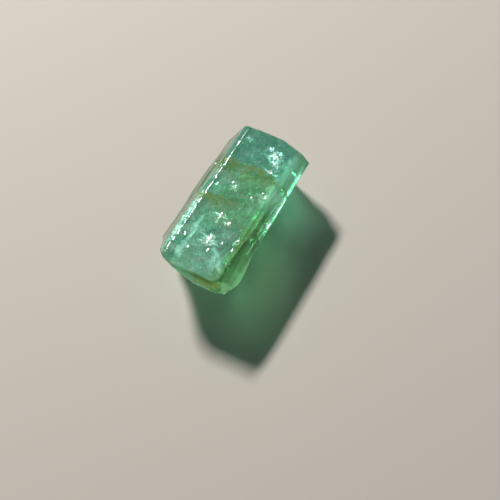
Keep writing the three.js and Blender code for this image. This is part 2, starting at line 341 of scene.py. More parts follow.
class Value:
    """A socket in a material's node tree. The usual operators on it add Math nodes."""

    def __init__(self, tree, socket=None):
        self.tree = tree
        self.socket = socket

    def node(self, kind, settings=None, links=None, output=0):
        """Adds a node: its settings first, then each socket's link or value."""
        made = self.tree.nodes.new("ShaderNode" + kind)
        for name, value in (settings or {}).items():
            if name == "stops":
                self.set_stops(made.color_ramp.elements, value)
            else:
                setattr(made, name, value)
        for name, value in (links or {}).items():
            if isinstance(value, Value):
                self.tree.links.new(value.socket, made.inputs[name])
            else:
                made.inputs[name].default_value = value
        return Value(self.tree, made.outputs[output])

    def set_stops(self, elements, stops):
        while len(elements) < len(stops):
            elements.new(1)
        for element, (place, colour) in zip(elements, stops):
            element.position = place
            element.color = (*colour, 1)

    def maths(self, operation, *values):
        return self.node("Math", {"operation": operation}, dict(enumerate((self, *values))))

    def __add__(self, other):
        return self.maths("ADD", other)

    def __radd__(self, other):
        return self.maths("ADD", other)

    def __sub__(self, other):
        return self.maths("SUBTRACT", other)

    def __rsub__(self, other):
        return self.maths("MULTIPLY_ADD", -1, other)

    def __mul__(self, other):
        return self.maths("MULTIPLY", other)

    def __rmul__(self, other):
        return self.maths("MULTIPLY", other)

    def rise(self, start, end):
        """0 below start and 1 above end, with a smooth rise between them. A start above end falls instead."""
        settings = {"interpolation_type": "SMOOTHSTEP"}
        flip = start > end
        links = {"Value": self, "From Min": min(start, end), "From Max": max(start, end)}
        links |= {"To Min": float(flip), "To Max": float(not flip)}
        return self.node("MapRange", settings, links)

    def mix(self, first, second):
        """The colour first where this value is 0, and second where it is 1."""
        settings = {"data_type": "RGBA"}
        return self.node("Mix", settings, {0: self, 6: first, 7: second}, output=2)

    def shader(self, first, second):
        """The shader first where this value is 0, and second where it is 1."""
        return self.node("MixShader", links={0: self, 1: first, 2: second})

    def clouds(self, place, size, detail=4.0, stretch=(1, 1, 1)):
        """Noise from about 0.3 to 0.7 with lumps of that size in mm."""
        scaled = self.node("VectorMath", {"operation": "DIVIDE"}, {0: place, 1: stretch})
        links = {"Vector": scaled, "Scale": 1 / size, "Detail": detail, "Roughness": 0.6}
        return self.node("TexNoise", links=links)

    def parts(self, place):
        """How far a place is across the prism, along it and up, in mm."""
        split = self.node("SeparateXYZ", links={0: place}).socket.node
        return [Value(self.tree, socket) for socket in split.outputs]

    def number(self, name):
        """The number that the piece's points were given by that name."""
        return self.node("Attribute", {"attribute_name": name}, output=2)


def start_material(name):
    """A new material with an empty tree. Gives it, a Value to build from, and the place in mm."""
    made = bpy.data.materials.new(name)
    made.use_nodes = True
    made.node_tree.nodes.clear()
    tree = Value(made.node_tree)
    place = tree.node("TexCoord", output=3)
    place = tree.node("VectorMath", {"operation": "SCALE"}, {0: place, "Scale": 1 / MM})
    return made, tree, place


def finish_material(tree, surface, volume=None):
    out = tree.tree.nodes.new("ShaderNodeOutputMaterial")
    tree.tree.links.new(surface.socket, out.inputs["Surface"])
    if volume:
        tree.tree.links.new(volume.socket, out.inputs["Volume"])


FAR_PARTING, MIDDLE_PARTING = 3.62, 0.25
DARK_GREEN, MILKY_GREEN = (0.15, 0.68, 0.47, 1), (0.52, 1, 0.90, 1)
FAR_TEAL = (0.24, 0.65, 0.57, 1)
NEAR_MILK = (0.60, 0.98, 0.84, 1)
FAR_RUST, MIDDLE_RUST = (0.48, 0.62, 0.16, 1), (0.46, 0.60, 0.18, 1)
MIDDLE_GREEN = (0.48, 0.88, 0.44, 1)
NEAR_LEFT_TEAL, LEFT_OLIVE = (0.12, 0.46, 0.36, 1), (0.28, 0.38, 0.20, 1)
LOW_RIGHT_WHITE, BRIGHT_SIDE_MINT = (0.88, 0.98, 0.93, 1), (0.72, 1, 0.90, 1)
MOSS_GREEN, STRIP_MOSS = (0.48, 0.78, 0.26, 1), (0.46, 0.62, 0.20, 1)
LIGHT_SPECK, DARK_SPECK = (0.85, 1, 0.95, 1), (0.14, 0.42, 0.28, 1)
BREAK_GREEN, BREAK_MILK, BREAK_RUST = (0.28, 0.62, 0.36, 1), (0.64, 0.95, 0.72, 1), (0.36, 0.34, 0.07, 1)
LOBE_GREEN, LOBE_MILK = (0.44, 0.72, 0.32, 1), (0.70, 0.96, 0.62, 1)
GLARE_WHITE, CHIP_WHITE, FLAKE_WHITE = (0.94, 1, 0.98, 1), (0.92, 0.99, 1, 1), (0.94, 1, 1, 1)

PALE_LIGHT, SIDE_LIGHT = (0.94, 0.98, 1, 1), (0.66, 1, 0.82, 1)
GREEN_LIGHT, RUSTY_LIGHT, MOSSY_LIGHT = (0.68, 1, 0.70, 1), (0.68, 0.64, 0.18, 1), (0.82, 1, 0.68, 1)
SHADOW_TINT = (0.20, 0.27, 0.23, 1)
BERYL_IOR = 1.58
BERYL_CLEARNESS = 0.8
DEPTH_COLOUR, DEPTH_DENSITY = (0.30, 0.80, 0.60, 1), 280.0
BUMP_STRENGTH, BUMP_HEIGHT = 0.12, 0.03 * MM


def beryl_zones(tree, place):
    """Masks from 0 to 1 for the parts of the crystal that look unlike each other, and two noises.

    The painted-light side is the far half of the right face, lightened as if lit through, the strip a mossy
    line along its near half, the lobe the bulge below that, and the glare the right edge, a painted
    highlight."""
    across, along, height = tree.parts(place)
    smear = tree.clouds(place, 0.7, 5.0, (1, 2, 1))
    cloud = tree.clouds(place, 1.1, 6.0)
    mottle = tree.clouds(place, 0.16, 3.0)
    drift = along + (tree.clouds(place, 1.6) - 0.5) * 1.2
    ragged_across = across + (smear - 0.5) * 2
    ragged_along = along + (smear - 0.5) * 0.3
    past_far = ragged_along - across.rise(-1.1, 1.3) * 0.13 + across.rise(2.0, 2.8) * 0.55
    past_middle = ragged_along + across.rise(-0.6, -1.5) * 0.14
    ragged_height = height + (smear - 0.5) * 2.4 + (mottle - 0.5) * 1.6
    before_far = past_far.rise(FAR_PARTING + 0.08, FAR_PARTING - 0.02)
    before_middle = past_middle.rise(MIDDLE_PARTING + 0.03, MIDDLE_PARTING - 0.07)
    by_middle = drift.rise(-1.3, -0.4) * before_middle

    zone = SimpleNamespace(cloud=cloud, mottle=mottle)
    zone.far_end = past_far.rise(FAR_PARTING - 0.04, FAR_PARTING + 0.08)
    zone.near_half = drift.rise(0.6, -2.6)
    zone.far_rust = drift.rise(1.6, 3.2) * before_far * smear.rise(0.36, 0.52)
    zone.middle_rust = by_middle * across.rise(1.6, 0.6) * smear.rise(0.40, 0.55)
    zone.middle = drift.rise(-3.0, -1.2) * drift.rise(3.6, 2.6) * across.rise(-1.6, 0.4)
    zone.near_left = ragged_across.rise(-0.4, -1.2) * drift.rise(-2.2, -3.4) * cloud.rise(0.55, 0.45)
    # Painted reflection: the left face is darkened to olive as if dark ground were mirrored in it.
    zone.left_face = across.rise(-2.3, -2.7)
    # Painted light: the lower right side of the far half is whitened as if light shone out through it.
    zone.low_right = across.rise(2.2, 3.4) * height.rise(4.45, 3.9) * along.rise(-2.0, -0.6)
    zone.mossy = ragged_across.rise(2.4, 3.4) * drift.rise(1.2, -1.0)
    zone.broken = tree.number("broken")
    zone.rusty_break = ragged_height.rise(4.0, 5.2) * across.rise(0.6, 2.2)
    # Painted light: the far half of the right face is lightened to mint as if lit through from inside.
    zone.bright_side = across.rise(2.7, 3.4) * along.rise(0.0, 1.4) * cloud.rise(0.26, 0.42)
    zone.strip = across.rise(3.18, 3.30) * across.rise(3.55, 3.40) * along.rise(-1.5, -3.0)
    zone.lobe = across.rise(3.38, 3.52) * drift.rise(-1.5, -4.0)
    # Painted highlight: the right edge is painted white where the lamp would glint on it.
    zone.glare = across.rise(3.70, 3.85) * along.rise(-1.6, -0.9) * along.rise(3.8, 3.2)
    # The worn edges are whitened, partly as frosted wear and partly as a painted highlight.
    zone.chipped = tree.number("worn") * mottle.rise(0.42, 0.56)
    # The flaked skin is whitened, partly as frost and partly as a painted glint over the bright cracks.
    zone.flaked = tree.number("flaked") * mottle.rise(0.42, 0.54)
    zone.low_down = height.rise(4.4, 3.2)
    return zone


def beryl_colour(zone):
    """The crystal's colour: a cloudy green, and over it in turn what each zone adds, with painted light,
    painted highlights and a painted reflection among them.
    """
    milky = zone.cloud.rise(0.42, 0.58)
    layers = [
        (zone.far_end * 0.65, FAR_TEAL),
        (zone.near_half * 0.45, NEAR_MILK),
        (zone.far_rust * 0.8, FAR_RUST),
        (zone.middle_rust * 0.8, MIDDLE_RUST),
        (zone.middle * 0.5, MIDDLE_GREEN),
        (zone.near_left * 0.8, NEAR_LEFT_TEAL),
        # painted reflection of dark ground on the left face
        (zone.left_face * 0.85, LEFT_OLIVE),
        # painted light shining out through the lower right side
        (zone.low_right * 0.7, LOW_RIGHT_WHITE),
        (zone.mossy * 0.85, MOSS_GREEN),
        (zone.mottle.rise(0.55, 0.65) * 0.45, LIGHT_SPECK),
        (zone.mottle.rise(0.44, 0.34) * 0.45, DARK_SPECK),
        (zone.broken * 0.85, zone.rusty_break.mix(milky.mix(BREAK_GREEN, BREAK_MILK), BREAK_RUST)),
        # painted light on the far half of the right face
        (zone.bright_side * 0.9, BRIGHT_SIDE_MINT),
        (zone.strip * 0.7, STRIP_MOSS),
        (zone.lobe * 0.7, milky.mix(LOBE_GREEN, LOBE_MILK)),
        # painted highlight along the right edge
        (zone.glare * 0.85, GLARE_WHITE),
        # frosted wear and painted highlight on the worn edges
        (zone.chipped * 0.85, CHIP_WHITE),
        # frost and painted glint on the flaked skin
        (zone.flaked * 0.85, FLAKE_WHITE),
    ]
    colour = zone.cloud.rise(0.40, 0.60).mix(DARK_GREEN, MILKY_GREEN)
    for mask, over in layers:
        colour = mask.mix(colour, over)
    return colour


def lit_from_inside(tree, zone, gem):
    """Adds the light that spreads out through the break, the lobe, the bright side and the chips."""
    pale, side, green, rusty, mossy = (
        tree.node("BsdfTranslucent", links={"Color": colour})
        for colour in (PALE_LIGHT, SIDE_LIGHT, GREEN_LIGHT, RUSTY_LIGHT, MOSSY_LIGHT)
    )
    light = zone.broken.shader(pale, zone.rusty_break.shader(green, rusty))
    light = zone.bright_side.shader(light, side)
    light = zone.lobe.shader(light, mossy)
    glow = zone.broken * (zone.cloud.rise(0.40, 0.62) * 0.40 + 0.25)
    clear_of_glare = zone.glare.rise(1, 0)
    for share in (zone.lobe * 0.65, zone.bright_side * clear_of_glare * 0.5, zone.chipped * 0.45):
        glow = glow.maths("MAXIMUM", share)
    return glow.shader(gem, light)


def green_beryl():
    made, tree, place = start_material("green_beryl")
    zone = beryl_zones(tree, place)
    fine = tree.clouds(place, 0.25, 3.0, (1, 3, 1))
    coarse = tree.clouds(place, 0.9, 2.0)
    bump = tree.node("Bump", links={
        "Height": fine + coarse * 2, "Strength": BUMP_STRENGTH, "Distance": BUMP_HEIGHT,
    })
    dullness = coarse.rise(0.35, 0.65) * 0.10 + 0.05
    gem = tree.node("BsdfPrincipled", links={
        "Base Color": beryl_colour(zone),
        "Roughness": dullness + zone.low_down * 0.14 + zone.broken * 0.1,
        "IOR": BERYL_IOR,
        "Transmission Weight": BERYL_CLEARNESS,
        "Normal": bump,
    })
    let_by = tree.node("BsdfTransparent", links={"Color": SHADOW_TINT})
    shadow_ray = tree.node("LightPath", output=1)
    surface = shadow_ray.shader(lit_from_inside(tree, zone, gem), let_by)
    depth = tree.node("VolumeAbsorption", links={"Color": DEPTH_COLOUR, "Density": DEPTH_DENSITY})
    finish_material(tree, surface, depth)
    return made


crystal.data.materials.append(green_beryl())
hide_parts("emerald_crystal")
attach(crystal, "root")


# The partings: two flat cracks square to the prism, stained brown and yellow by iron where water
# has crept in from the top. The far one cuts right through, the middle one only part of the way.
TOP = high.z / MM
TOP_FACE = 5.63
PARTING_WOBBLE = 0.06
FAR_TRACE = [
    (-1.8, 0.10), (-1.1, -0.08), (0.0, 0.01), (1.3, 0.16), (2.0, 0.11), (2.6, -0.28), (3.5, -0.42)
]
MIDDLE_TRACE = [(-1.5, -0.15), (-0.6, -0.01), (0.4, -0.03), (0.95, 0.05)]
STAIN_COLOURS = [
    (0.30, (0.50, 0.74, 0.34)),
    (0.46, (0.50, 0.60, 0.16)),
    (0.58, (0.46, 0.42, 0.08)),
    (0.72, (0.42, 0.26, 0.04)),
]
STAIN_LIGHT = (0.48, 0.50, 0.14, 1)
STAIN_ROUGHNESS = 0.5
LIGHT_THROUGH_FILM = 0.45
WETTED = (TOP - 4.5, TOP - 0.8)
RIM_RAGGEDNESS = 0.22
BEYOND_SKIN = 9


def sheet(middle, facing, reach, seed, wobble, clear=0.07, rings=36, spokes=110, trace=()):
    """The net of a thin sheet that grows out from its middle until it nears the skin, or its own reach.

    A trace gives [x, shift along the prism] for a sheet that follows a bent line across the top."""
    facing = Vector(facing).normalized()
    first = facing.orthogonal().normalized()
    second = facing.cross(first)
    middle = Vector(middle)
    turns = np.arange(spokes) / spokes * FULL_TURN
    ways = np.cos(turns)[:, None] * np.array(first) + np.sin(turns)[:, None] * np.array(second)
    uneven = 1 + RIM_RAGGEDNESS * ripple(ways * 3, 3, seed)
    limits = []
    for way, own in zip(ways, uneven):
        to_skin = skin.ray_cast(middle, Vector(way))[3] or BEYOND_SKIN
        limits.append(min(reach * own, to_skin - clear))
    shares = np.repeat(np.arange(1, rings + 1) / rings, spokes)
    flat = np.array(middle) + np.tile(np.array(limits)[:, None] * ways, (rings, 1)) * shares[:, None]
    bend = wobble * (ripple(flat, 2.2, seed + 1) + 0.3 * ripple(flat, 0.7, seed + 2))
    flat += np.array(facing) * (bend * (1 - shares**6))[:, None]
    places = np.vstack([np.array(middle)[None], flat])
    if trace:
        places[:, 1] += np.interp(places[:, 0], *zip(*trace))
    places[:, 2] = np.minimum(places[:, 2], TOP_FACE * narrowed(places[:, 1]) - clear)
    faces = [(0, 1 + k, 1 + (k + 1) % spokes) for k in range(spokes)]
    for ring in range(rings - 1):
        for k in range(spokes):
            a, b = 1 + ring * spokes + k, 1 + ring * spokes + (k + 1) % spokes
            faces.append((a, a + spokes, b + spokes, b))
    return places, faces, np.concatenate([[0], shares])


def joined(name, sheets):
    """One object from several sheets."""
    starts = np.cumsum([0] + [len(places) for places, _, _ in sheets])
    faces = [
        tuple(start + corner for corner in face)
        for start, (_, own, _) in zip(starts, sheets)
        for face in own
    ]
    return object_from(name, np.vstack([places for places, _, _ in sheets]), faces)


def flaws(name, sheets, finish):
    """A piece made of several sheets, whose points know how near their sheet's rim they are."""
    made = joined(name, sheets)
    told(made, "rim", np.concatenate([shares for _, _, shares in sheets]))
    made.data.materials.append(finish)
    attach(made, "root")
    return made


def shown_where(tree, shown, film):
    """A film that is there where shown is 1, and leaves the crystal clear where it is 0."""
    return shown.shader(tree.node("BsdfTransparent"), film)


def lit_both_sides(tree, colour, light, roughness, shown):
    """A thin film with its own colour from the front, and its light where lit from behind."""
    front = tree.node("BsdfPrincipled", links={"Base Color": colour, "Roughness": roughness})
    through = tree.node("BsdfTranslucent", links={"Color": light})
    film = tree.node("MixShader", links={0: LIGHT_THROUGH_FILM, 1: front, 2: through})
    return shown_where(tree, shown, film)


def iron_stain():
    made, tree, place = start_material("iron_stain")
    height = tree.parts(place)[2]
    patch = tree.clouds(place, 0.9, 6.0)
    specks = tree.clouds(place, 0.20, 3.0)
    colour = tree.node("ValToRGB", {"stops": STAIN_COLOURS}, {0: patch})
    wet = height.rise(*WETTED)
    stained = (patch + wet * 0.16 - 0.06).rise(0.36, 0.58) * 0.85 + specks.rise(0.55, 0.7) * 0.15
    shown = stained * (wet * 0.7 + 0.3)
    finish_material(tree, lit_both_sides(tree, colour, STAIN_LIGHT, STAIN_ROUGHNESS, shown))
    return made


far_parting = sheet(
    (0, FAR_PARTING, 2.9), (0.03, 1, 0.03), reach=9, seed=11, wobble=PARTING_WOBBLE, trace=FAR_TRACE
)
middle_parting = sheet(
    (-0.9, MIDDLE_PARTING, 3.9), (-0.03, 1, 0.12), reach=2.3, seed=21, wobble=PARTING_WOBBLE,
    trace=MIDDLE_TRACE,
)
flaws("stained_partings", [far_parting, middle_parting], iron_stain())


# Healed cracks: wispy white veils of tiny fluid drops that run through the crystal at all angles.
# Some are clouds, and some are fine threads where the drops line up.
VEILS = [
    [(0.6, -4.6, 5.1), (0.06, 0.10, 1), 2.5],
    [(-0.7, -2.6, 4.6), (0.2, -0.25, 1), 2.4],
    [(0.8, -1.4, 3.6), (-0.5, 0.5, 0.8), 3.0],
    [(1.2, 1.4, 4.5), (0.4, 0.3, 1), 2.2],
    [(-0.9, 2.2, 3.8), (-0.6, 0.2, 0.9), 2.2],
    [(0.9, 5.2, 4.6), (0.2, -0.5, 1), 1.8],
    [(-0.8, 5.4, 3.2), (0.7, 0.5, 0.5), 2.2],
    [(0.2, 0.2, 2.0), (0.1, 0.1, 1), 4.0],
    [(0.5, -3.2, 2.6), (0.8, 0.3, 0.4), 2.6],
    [(1.8, -5.3, 4.0), (0.3, 0.8, 0.4), 1.6],
    [(2.5, 2.4, 3.4), (0.8, 0.2, 0.6), 1.6],
]
VEIL_WOBBLE = 0.3
VEIL_SEED = 30
VEIL_THIN, VEIL_THICK = (0.55, 0.95, 0.88, 1), (0.92, 1, 1, 1)
VEIL_LIGHT = (0.80, 0.98, 0.96, 1)
VEIL_ROUGHNESS = 0.4


def white_veil():
    made, tree, place = start_material("white_veil")
    wisps = tree.clouds(place, 0.8, 7.0)
    weave = tree.clouds(place, 0.55, 4.0, (1, 1.6, 1)) - 0.5
    threads = weave.maths("ABSOLUTE").rise(0.022, 0.004)
    drops = wisps.rise(0.48, 0.66) * 0.85 + threads * wisps.rise(0.40, 0.55) * 0.7
    shown = drops * tree.number("rim").rise(1, 0.6)
    colour = wisps.rise(0.45, 0.65).mix(VEIL_THIN, VEIL_THICK)
    finish_material(tree, lit_both_sides(tree, colour, VEIL_LIGHT, VEIL_ROUGHNESS, shown))
    return made


veils = [
    sheet(*veil, VEIL_SEED + 3 * number, VEIL_WOBBLE) for number, veil in enumerate(VEILS, 1)
]
healed_cracks = flaws("healed_cracks", veils, white_veil())


# Milky streaks: soft bands of the same fluid drops, so dense that they shine like silk. They lie
# close under the top face of the near half and under the narrow face on the right.
STREAKS = [
    [[(1.1, -3.8, 5.4), (1.8, -4.6, 5.4), (2.4, -5.2, 5.35), (2.85, -5.8, 5.3), (2.95, -6.4, 5.1)], 1.2],
    [
        [(-0.6, -1.6, 5.4), (-0.9, -2.5, 5.35), (-0.7, -3.6, 5.35), (-0.8, -4.8, 5.35), (-1.2, -5.6, 5.3)],
        0.95,
    ],
    [[(-0.8, -4.0, 5.4), (-1.0, -5.1, 5.4), (-0.85, -5.9, 5.3), (-0.3, -6.5, 5.2), (0.4, -6.8, 5.1)], 0.80],
    [[(-0.6, -1.5, 5.4), (0.5, -1.3, 5.4), (1.4, -1.6, 5.4)], 0.35],
    [[(3.62, 3.3, 4.50), (3.62, 1.8, 4.52), (3.60, 0.2, 4.52), (3.55, -0.9, 4.50)], 0.50],
    [[(3.42, 6.4, 4.32), (3.52, 5.3, 4.40), (3.58, 4.0, 4.46)], 0.55],
    [[(3.30, 6.4, 4.30), (3.34, 4.8, 4.34), (3.38, 2.8, 4.38), (3.35, 0.6, 4.35)], 0.95],
    [[(2.75, 6.4, 4.45), (2.80, 5.0, 4.50), (2.75, 3.0, 4.50), (2.70, 0.8, 4.45)], 1.30],
]
STREAK_FACING = (-0.2, 0.05, 1)
STREAK_SEED = 80
STREAK_THIN, STREAK_THICK = (0.56, 0.92, 0.96, 1), (0.90, 1, 1, 1)
STREAK_ROUGHNESS, STREAK_METALLIC = 0.6, 0.5
RIBBON_STEPS, RIBBON_POINTS = 60, 7
RIBBON_SMOOTHING = 40


def kept_inside(places, clear):
    """Moves points that lie outside the crystal, or nearer its skin than clear, back to that depth."""
    for number, place in enumerate(places):
        near, facing, _, _ = skin.find_nearest(Vector(place))
        if (near - Vector(place)).dot(facing) < clear:
            places[number] = near - facing * clear
    return places


def ribbon(path, width, facing, seed, clear=0.04):
    """A flat streak along a bent path, with ragged sides and pointed ends."""
    path = np.array(path)
    steps = np.linspace(0, len(path) - 1, RIBBON_STEPS)
    spine = np.stack([np.interp(steps, range(len(path)), column) for column in path.T], 1)
    for _ in range(RIBBON_SMOOTHING):
        spine[1:-1] = (spine[:-2] + spine[2:] + 2 * spine[1:-1]) / 4
    across = np.cross(np.gradient(spine, axis=0), facing)
    across /= np.linalg.norm(across, axis=1)[:, None]
    taper = np.sin(np.linspace(0.02, 0.98, RIBBON_STEPS) * math.pi) ** 0.6
    half = width / 2 * taper * (1 + 0.35 * ripple(spine, width * 1.5, seed))
    shares = np.linspace(-1, 1, RIBBON_POINTS)
    places = spine[:, None] + across[:, None] * (half[:, None] * shares)[:, :, None]
    corners = [
        RIBBON_POINTS * step + point
        for step in range(RIBBON_STEPS - 1)
        for point in range(RIBBON_POINTS - 1)
    ]
    faces = [(a, a + 1, a + RIBBON_POINTS + 1, a + RIBBON_POINTS) for a in corners]
    rims = 1 - taper[:, None] * (1 - abs(shares))
    return kept_inside(places.reshape(-1, 3), clear), faces, rims.ravel()


def milky_streak():
    made, tree, place = start_material("milky_streak")
    wisps = tree.clouds(place, 0.45, 5.0, (1, 1.3, 1))
    shown = wisps.rise(0.32, 0.64) * tree.number("rim").rise(1, 0.2) * 0.8
    colour = wisps.rise(0.45, 0.6).mix(STREAK_THIN, STREAK_THICK)
    silk = tree.node("BsdfPrincipled", links={
        "Base Color": colour, "Roughness": STREAK_ROUGHNESS, "Metallic": STREAK_METALLIC,
    })
    finish_material(tree, shown_where(tree, shown, silk))
    return made


streaks = [
    ribbon(*streak, STREAK_FACING, STREAK_SEED + number) for number, streak in enumerate(STREAKS)
]
flaws("milky_streaks", streaks, milky_streak())


# Fresh cracks: a few thin bright ones in the starburst, by the far parting, across the near half
# and along the right edge, where a flat break inside the crystal throws back the light.
TOP_FLASH = (-0.20, 0.05, 1)
EDGE_FLASH = (0, 0.07, 1)
CRACKS = [
    [[(1.20, 3.97, 5.45), (1.75, 3.82, 5.45), (2.40, 3.70, 5.45), (2.75, 3.85, 5.45)], 0.26, TOP_FLASH],
    [[(2.60, 3.55, 5.42), (3.00, 3.50, 5.40), (3.40, 3.35, 5.20)], 0.08, TOP_FLASH],
    [[(-0.10, -3.38, 5.45), (0.45, -3.58, 5.45), (1.00, -3.84, 5.45), (1.85, -3.93, 5.45)], 0.26, TOP_FLASH],
    [[(3.87, 3.0, 4.50), (3.90, 1.9, 4.46), (3.88, 0.7, 4.50)], 0.20, EDGE_FLASH],
    [[(3.88, 0.35, 4.50), (3.89, 0.0, 4.50), (3.88, -0.5, 4.50)], 0.28, EDGE_FLASH],
    [[(0.92, 5.95, 5.45), (1.30, 5.66, 5.45), (1.56, 5.36, 5.45), (1.66, 5.02, 5.45)], 0.19, TOP_FLASH],
    [[(1.30, 5.62, 5.44), (1.60, 5.80, 5.44), (1.98, 5.86, 5.44)], 0.07, TOP_FLASH],
    [[(1.55, 5.20, 5.44), (1.90, 4.95, 5.44), (2.25, 4.50, 5.44)], 0.08, TOP_FLASH],
    [[(1.28, 4.98, 5.44), (1.48, 4.72, 5.44), (1.82, 4.56, 5.44)], 0.12, TOP_FLASH],
]
CRACK_SEED = 60
CRACK_BLUE, CRACK_WHITE = (0.70, 0.95, 1, 1), (1, 1, 1, 1)
CRACK_ROUGHNESS, CRACK_METALLIC = 0.33, 0.7


def fresh_crack():
    made, tree, place = start_material("fresh_crack")
    ragged = tree.clouds(place, 0.10, 3.0)
    colour = ragged.rise(0.4, 0.6).mix(CRACK_BLUE, CRACK_WHITE)
    foil = tree.node("BsdfPrincipled", links={
        "Base Color": colour, "Roughness": CRACK_ROUGHNESS, "Metallic": CRACK_METALLIC,
    })
    shown = ragged.rise(0.40, 0.46) * tree.number("rim").rise(1, 0.8)
    finish_material(tree, shown_where(tree, shown, foil))
    return made


cracks = [ribbon(*crack, CRACK_SEED + number) for number, crack in enumerate(CRACKS)]
flaws("fresh_cracks", cracks, fresh_crack())


# Bursts: stars of fine pointed cracks that spread from a few points close under the top face. Each
# ray flashes in a tone of its own, most of them white, some blue and some gold.
BURSTS = [
    [(1.52, 5.36, 5.42), 0.56, 18, 0.12, 0.8],
    [(1.00, 5.80, 5.44), 0.36, 14, 0.0, 0.15],
    [(1.95, 5.75, 5.44), 0.30, 9, 0.1, 0.8],
    [(1.80, 4.75, 5.44), 0.45, 14, 0.1, 0.8],
    [(2.25, 4.45, 5.45), 0.30, 8, 0.0, 0.6],
    [(-1.36, 0.95, 5.42), 0.22, 14, 0.2, 1.0],
    [(1.34, -1.78, 5.42), 0.30, 26, 0.84, 1.0],
    [(1.10, -1.85, 5.42), 0.16, 10, 0.0, 0.3],
    [(1.85, -3.60, 5.42), 0.20, 10, 0.2, 0.9],
]
BURST_SEED = 50
BURST_LEAN = (0.20, -0.05)
BURST_CLEAR = 0.015
RAY_TILT = 0.08
RAY_DEPTH = 0.05
RAY_HALF_WIDTH = (0.018, 0.050)
RAY_ROUGHNESS = 0.30
FLASH_METALLIC = 0.75
FLASH_COLOURS = [
    (0.0, (0.45, 0.60, 1)),
    (0.16, (0.85, 0.95, 1)),
    (0.80, (0.95, 1, 0.97)),
    (0.92, (1, 0.72, 0.35)),
    (1.0, (1, 0.60, 0.62)),
]


def burst(middle, reach, rays, low_tone, high_tone, seed):
    """Thin pointed rays that fan out from a middle, a little tilted each its own way, with their tones."""
    source = np.random.default_rng(seed)
    places, faces, tones = [], [], []
    for ray in range(rays):
        turn = source.uniform(0, FULL_TURN)
        way = np.array([math.cos(turn), math.sin(turn), 0])
        side = np.cross((0, 0, 1), way) * source.uniform(*RAY_HALF_WIDTH)
        tilt = source.normal(0, RAY_TILT, 2)
        start, end = reach * source.uniform(0, 0.15), reach * source.uniform(0.35, 1)
        own = [way * start, way * (start + end) / 2 + side, way * end, way * (start + end) / 2 - side]
        own = np.array(own) + (0, 0, source.uniform(-RAY_DEPTH, RAY_DEPTH))
        own[:, 2] += own[:, :2] @ (tilt + BURST_LEAN)
        places.append(own + middle)
        faces.append(tuple(range(4 * ray, 4 * ray + 4)))
        tones += [source.uniform(low_tone, high_tone)] * 4
    return kept_inside(np.vstack(places), BURST_CLEAR), faces, tones


def flashing(name, roughness):
    made, tree, _ = start_material(name)
    colour = tree.node("ValToRGB", {"stops": FLASH_COLOURS}, {0: tree.number("tone")})
    foil = tree.node("BsdfPrincipled", links={
        "Base Color": colour, "Roughness": roughness, "Metallic": FLASH_METALLIC,
    })
    finish_material(tree, foil)
    return made


stars = [burst(*star, BURST_SEED + number) for number, star in enumerate(BURSTS)]
bursts = joined("bursts", stars)
told(bursts, "tone", np.concatenate([tones for _, _, tones in stars]))
bursts.data.materials.append(flashing("flashing_ray", RAY_ROUGHNESS))
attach(bursts, "root")


# Sparks: swarms of tiny flat cracks close under the faces and along the worn edge. Each is a sliver
# that lies nearly in the plane of its swarm, and one in a few flashes white, blue or gold.
SPARKS = [
    [(1.62, 5.25, 5.30), (-0.2, 0.05, 1), 0.60],
    [(1.95, 4.55, 5.40), (-0.2, 0.05, 1), 0.45],
    [(1.95, 3.84, 5.45), (-0.1, 0.5, 1), 0.50],
    [(-1.36, 0.95, 5.45), (-0.3, 0.1, 1), 0.26],
    [(0.05, 1.40, 5.30), (-0.2, 0.3, 1), 0.45],
    [(2.62, 1.55, 5.35), (-0.1, 0.2, 1), 0.50],
    [(1.80, 1.05, 5.30), (-0.3, 0.1, 1), 0.30],
    [(1.36, -1.81, 5.35), (-0.2, 0.1, 1), 0.35],
    [(0.30, -1.35, 5.25), (-0.3, 0.1, 1), 0.55],
    [(0.75, -3.85, 5.35), (-0.2, 0.1, 1), 0.75],
    [(1.80, -3.55, 5.45), (-0.2, 0.1, 1), 0.20],
    [(2.80, -2.95, 5.35), (-0.2, 0.1, 1), 0.28],
    [(-0.60, -3.10, 5.20), (-0.1, 0.1, 1), 0.60],
    [(3.55, 1.80, 4.90), (0.6, 0.1, 0.8), 0.80],
    [(-3.10, 3.20, 3.40), (-0.9, 0, 0.4), 0.60],
    [(0.90, 0.50, 0.80), (0.1, 0.2, -1), 1.20],
    [(-1.15, 6.00, 5.40), (-0.2, 0.05, 1), 0.32],
]
SPARK_SEED = 90
CHIPS = [
    [[(-1.88, 3.6, 5.36), (-1.90, 2.4, 5.39), (-1.90, 1.2, 5.39)], 0.16],
    [[(-1.90, -0.8, 5.40), (-1.93, -3.0, 5.45), (-1.95, -5.4, 5.48)], 0.50],
    [[(-2.35, 1.0, 4.85), (-2.38, -2.0, 4.90), (-2.40, -5.0, 4.95)], 0.40],
    [[(-1.94, 0.2, 5.40), (-1.96, -2.4, 5.42), (-1.98, -4.6, 5.46)], 0.45],
    [[(-2.02, -0.4, 5.32), (-2.05, -2.8, 5.36), (-2.08, -5.6, 5.40)], 0.40],
]
CHIP_FACING = (-0.35, 0.07, 0.93)
CHIP_SEED = 100
CHIP_CLEAR = 0.05
GRAIN_CLEAR = 0.01
SLIVERS_PER_AREA = 110
SLIVER_CORNERS = 4
SLIVER_ROUGHNESS = 0.40
TURN_SEED, SIZE_SEED, TONE_SEED = 5, 6, 7


def geometry_tree(name, inputs):
    """An empty Geometry Nodes tree with its named inputs, and the nodes at its two ends."""
    made = bpy.data.node_groups.new(name, "GeometryNodeTree")
    made.interface.new_socket("Geometry", in_out="OUTPUT", socket_type="NodeSocketGeometry")
    made.interface.new_socket("Geometry", in_out="INPUT", socket_type="NodeSocketGeometry")
    for title, kind in inputs.items():
        made.interface.new_socket(title, in_out="INPUT", socket_type="NodeSocket" + kind)
    return made, made.nodes.new("NodeGroupInput"), made.nodes.new("NodeGroupOutput")


